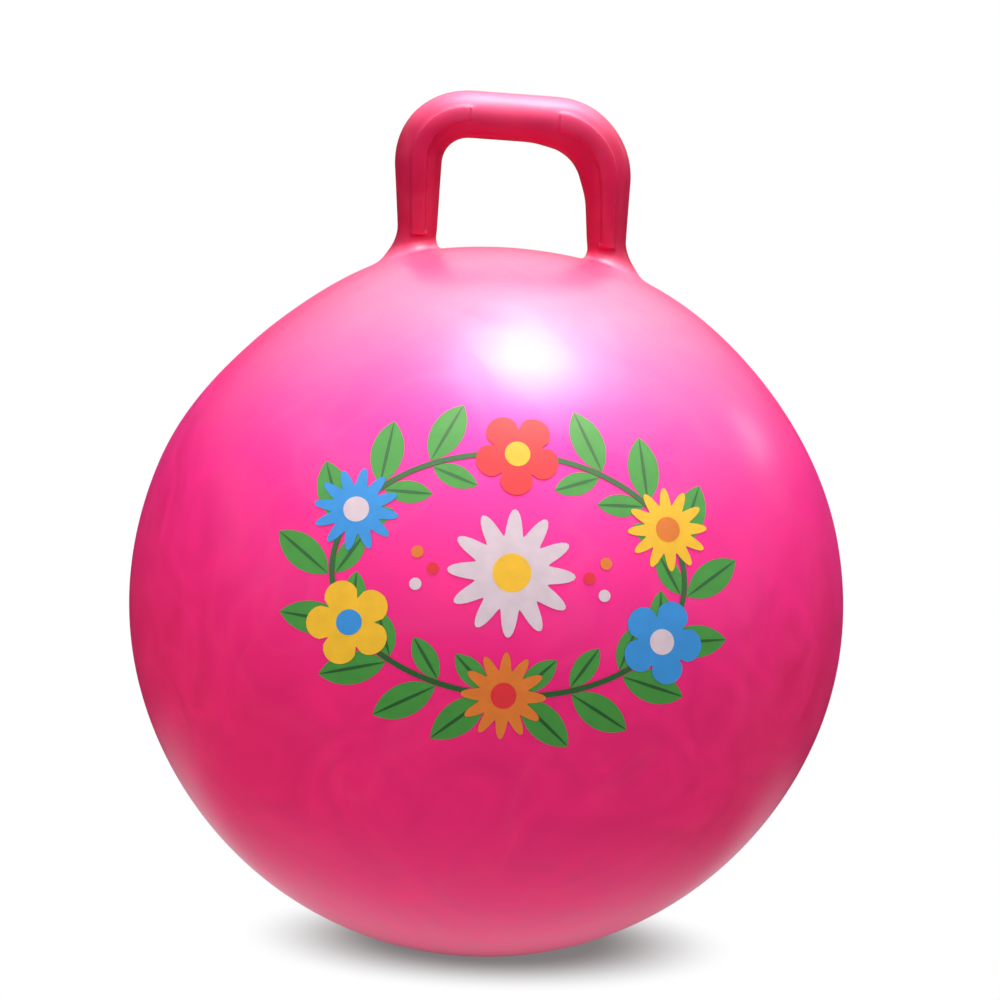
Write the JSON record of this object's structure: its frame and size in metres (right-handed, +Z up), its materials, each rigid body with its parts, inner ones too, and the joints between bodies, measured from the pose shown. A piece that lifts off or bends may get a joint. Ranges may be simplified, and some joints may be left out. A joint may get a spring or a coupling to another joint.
{
  "type": "hopper ball",
  "caption": "Inflated child's hopper ball of pearly pink vinyl with a moulded D-shaped grip, raised grip bands, a push-in air plug and a printed flower wreath.",
  "frame": {"origin": "on the floor under the centre of the ball, the middle of the flat patch that it stands on", "axes": "+Z up through the handle, +X along the grip bar to the right, -Y towards the printed front"},
  "size_m": [0.4499, 0.4505, 0.54],
  "materials": {
    "ball_vinyl": "pearly, satin gloss",
    "grip_vinyl": "pearly, satin gloss",
    "seat_vinyl": "satin",
    "plug_polyethylene": "satin",
    "ink_green": "printed, gloss",
    "ink_dark_green": "printed, gloss",
    "ink_yellow": "printed, gloss",
    "ink_orange": "printed, gloss",
    "ink_white": "printed, gloss",
    "ink_red": "printed, gloss",
    "ink_blue": "printed, gloss"
  },
  "bodies": {
    "ball": {"ball_shell": "ball_vinyl", "handle": "grip_vinyl", "valve_seat": "seat_vinyl", "print_green": "ink_green", "print_dark_green": "ink_dark_green", "print_yellow": "ink_yellow", "print_orange": "ink_orange", "print_white": "ink_white", "print_red": "ink_red", "print_blue": "ink_blue"},
    "plug": {"valve_plug": "plug_polyethylene"}
  },
  "joints": [
    {"name": "plug_pull", "type": "slide", "parent": "ball", "child": "plug", "axis": [0, 0.5736, 0.8192], "range_m": [0, 0.03]}
  ]
}
